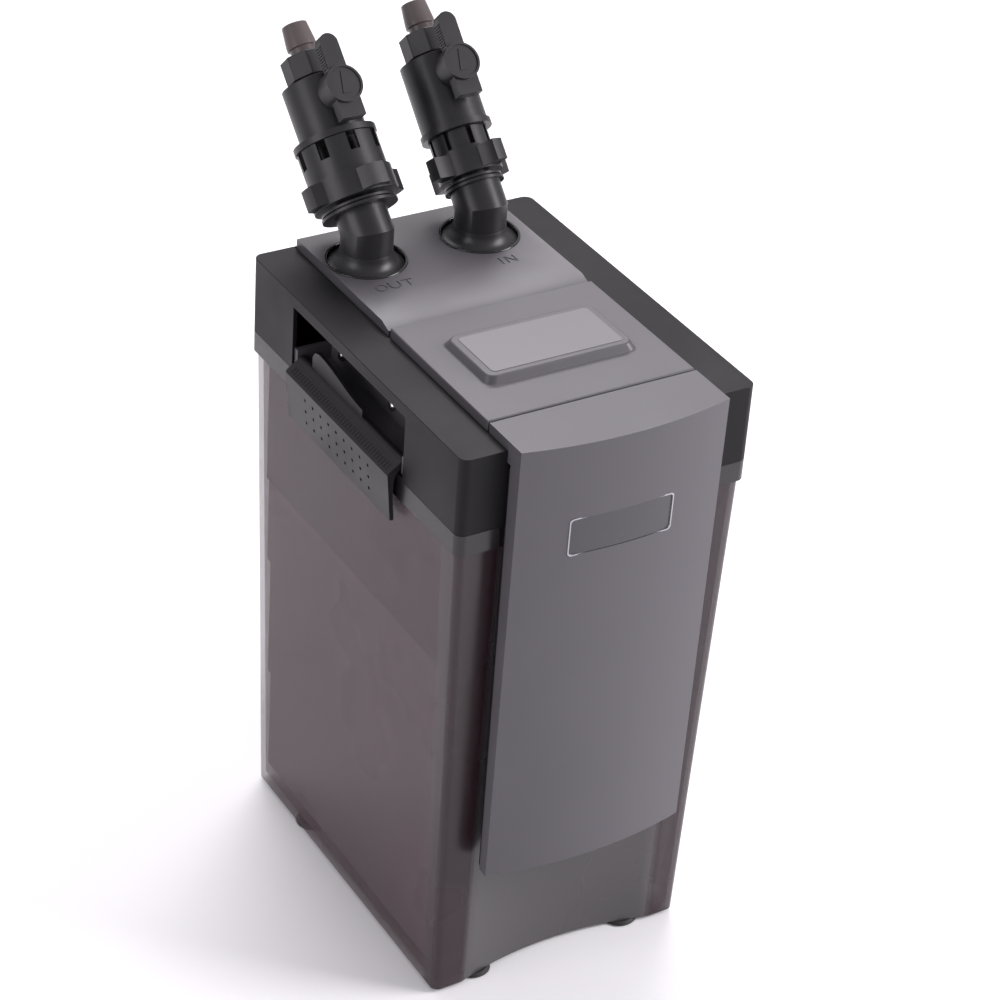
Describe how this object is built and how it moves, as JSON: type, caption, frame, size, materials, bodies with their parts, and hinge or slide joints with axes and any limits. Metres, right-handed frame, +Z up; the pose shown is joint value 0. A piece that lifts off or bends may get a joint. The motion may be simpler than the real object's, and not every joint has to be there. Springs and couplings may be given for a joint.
{
  "type": "aquarium canister filter",
  "caption": "Upright canister filter: tinted tank with media baskets, lift-off pump head with a bowed front panel, side latches and two leaning shut-off valves.",
  "frame": {"origin": "on the ground plane under the feet, at the middle of the tank in plan", "axes": "+Z up along the pump shaft, -Y out of the front panel, +X to the right seen from the front"},
  "size_m": [0.214, 0.3441, 0.5418],
  "materials": {
    "tank_smoke": "tinted clear plastic, gloss",
    "rubber_dark": "matt",
    "seal_rubber": "matt silicone",
    "head_black": "fine grained",
    "cover_grey": "satin, fine grained",
    "trim_black": "gloss",
    "badge_metal": "satin",
    "basket_grey": "satin",
    "sponge_blue": "open cell foam",
    "ceramic": "rough ceramic",
    "pad_white": "fibre pad",
    "magnet": "dark",
    "steel": "brushed",
    "copper": "enamelled wire",
    "shaft_ceramic": "polished ceramic",
    "impeller_white": "satin",
    "valve_grey": "satin",
    "barb_brown": "satin"
  },
  "bodies": {
    "tank_body": {"tank": "tank_smoke", "feet": "rubber_dark"},
    "head": {"head_base": "head_black", "seal_ring": "seal_rubber", "head_frame": "head_black", "rear_deck": "cover_grey", "motor_cover": "cover_grey", "front_cover": "cover_grey", "panel_backing": "head_black", "badge": "badge_metal", "port_ring_out": "trim_black", "port_ring_in": "trim_black", "port_socket_out": "head_black", "port_socket_in": "head_black", "inlet_pipe": "head_black", "outlet_duct": "head_black", "flow_shroud": "cover_grey", "pump_housing": "head_black", "pump_cover": "head_black", "impeller_shaft": "shaft_ceramic", "bush_top": "rubber_dark", "bush_bottom": "rubber_dark", "stator_core": "steel", "stator_coils": "copper", "motor_can": "head_black", "cable_gland": "rubber_dark", "latch_bracket_left": "cover_grey", "latch_bracket_right": "cover_grey", "latch_pin_left": "steel", "latch_pin_right": "steel", "bay_screws": "steel"},
    "rotor": {"impeller": "impeller_white", "rotor_magnet": "magnet"},
    "latch_left": {"latch_lever_left": "head_black"},
    "latch_right": {"latch_lever_right": "head_black"},
    "tray_bottom": {"basket_bottom": "basket_grey", "coarse_sponge": "sponge_blue"},
    "tray_middle": {"basket_middle": "basket_grey", "ceramic_blocks": "ceramic"},
    "tray_top": {"basket_top": "basket_grey", "fine_pad": "pad_white"},
    "elbow_arm_out": {"elbow_out": "valve_grey", "elbow_seal_out": "rubber_dark"},
    "valve_out": {"valve_body_out": "valve_grey", "hose_nut_out": "valve_grey", "hose_barb_out": "barb_brown"},
    "nut_out": {"coupling_nut_out": "valve_grey"},
    "lever_out": {"valve_lever_out": "valve_grey", "valve_ball_out": "shaft_ceramic"},
    "elbow_arm_in": {"elbow_in": "valve_grey", "elbow_seal_in": "rubber_dark"},
    "valve_in": {"valve_body_in": "valve_grey", "hose_nut_in": "valve_grey", "hose_barb_in": "barb_brown"},
    "nut_in": {"coupling_nut_in": "valve_grey"},
    "lever_in": {"valve_lever_in": "valve_grey", "valve_ball_in": "shaft_ceramic"}
  },
  "joints": [
    {"name": "head_lift", "type": "slide", "parent": "tank_body", "child": "head", "axis": [0, 0, 1], "range_m": [0, 0.4]},
    {"name": "tray_top_lift", "type": "slide", "parent": "tank_body", "child": "tray_top", "axis": [0, 0, 1], "range_m": [0, 0.3]},
    {"name": "tray_middle_lift", "type": "slide", "parent": "tank_body", "child": "tray_middle", "axis": [0, 0, 1], "range_m": [0, 0.2]},
    {"name": "tray_bottom_lift", "type": "slide", "parent": "tank_body", "child": "tray_bottom", "axis": [0, 0, 1], "range_m": [0, 0.1]},
    {"name": "rotor_spin", "type": "hinge", "parent": "head", "child": "rotor", "pos_m": [0, -0.04, 0.38], "axis": [0, 0, 1], "continuous": true},
    {"name": "latch_left_turn", "type": "hinge", "parent": "head", "child": "latch_left", "pos_m": [-0.0955, 0.005, 0.3645], "axis": [0, 1, 0], "range_deg": [-4, 90]},
    {"name": "latch_right_turn", "type": "hinge", "parent": "head", "child": "latch_right", "pos_m": [0.0955, 0.005, 0.3645], "axis": [0, -1, 0], "range_deg": [-4, 90]},
    {"name": "elbow_out_swivel", "type": "hinge", "parent": "head", "child": "elbow_arm_out", "pos_m": [-0.0433, 0.0885, 0.4], "axis": [0, 0, 1], "range_deg": [-20, 90]},
    {"name": "valve_out_release", "type": "slide", "parent": "elbow_arm_out", "child": "valve_out", "axis": [-0.0247, 0.7067, 0.7071], "range_m": [0, 0.032]},
    {"name": "nut_out_turn", "type": "hinge", "parent": "valve_out", "child": "nut_out", "pos_m": [-0.04397, 0.10758, 0.45309], "axis": [-0.0247, 0.7067, 0.7071], "range_deg": [0, 60]},
    {"name": "lever_out_turn", "type": "hinge", "parent": "valve_out", "child": "lever_out", "pos_m": [-0.04463, 0.12666, 0.51461], "axis": [0.0247, -0.7067, 0.7071], "range_deg": [0, 90]},
    {"name": "elbow_in_swivel", "type": "hinge", "parent": "head", "child": "elbow_arm_in", "pos_m": [0.0376, 0.0885, 0.4], "axis": [0, 0, 1], "range_deg": [-90, 20]},
    {"name": "valve_in_release", "type": "slide", "parent": "elbow_arm_in", "child": "valve_in", "axis": [0, 0.7071, 0.7071], "range_m": [0, 0.032]},
    {"name": "nut_in_turn", "type": "hinge", "parent": "valve_in", "child": "nut_in", "pos_m": [0.0376, 0.10759, 0.45309], "axis": [0, 0.7071, 0.7071], "range_deg": [0, 60]},
    {"name": "lever_in_turn", "type": "hinge", "parent": "valve_in", "child": "lever_in", "pos_m": [0.0376, 0.12668, 0.51461], "axis": [0, -0.7071, 0.7071], "range_deg": [0, 90]}
  ],
  "couplings": [
    {"joint": "tray_top_lift", "follows": "head_lift", "ratio": 0.75},
    {"joint": "tray_middle_lift", "follows": "head_lift", "ratio": 0.5},
    {"joint": "tray_bottom_lift", "follows": "head_lift", "ratio": 0.25}
  ]
}
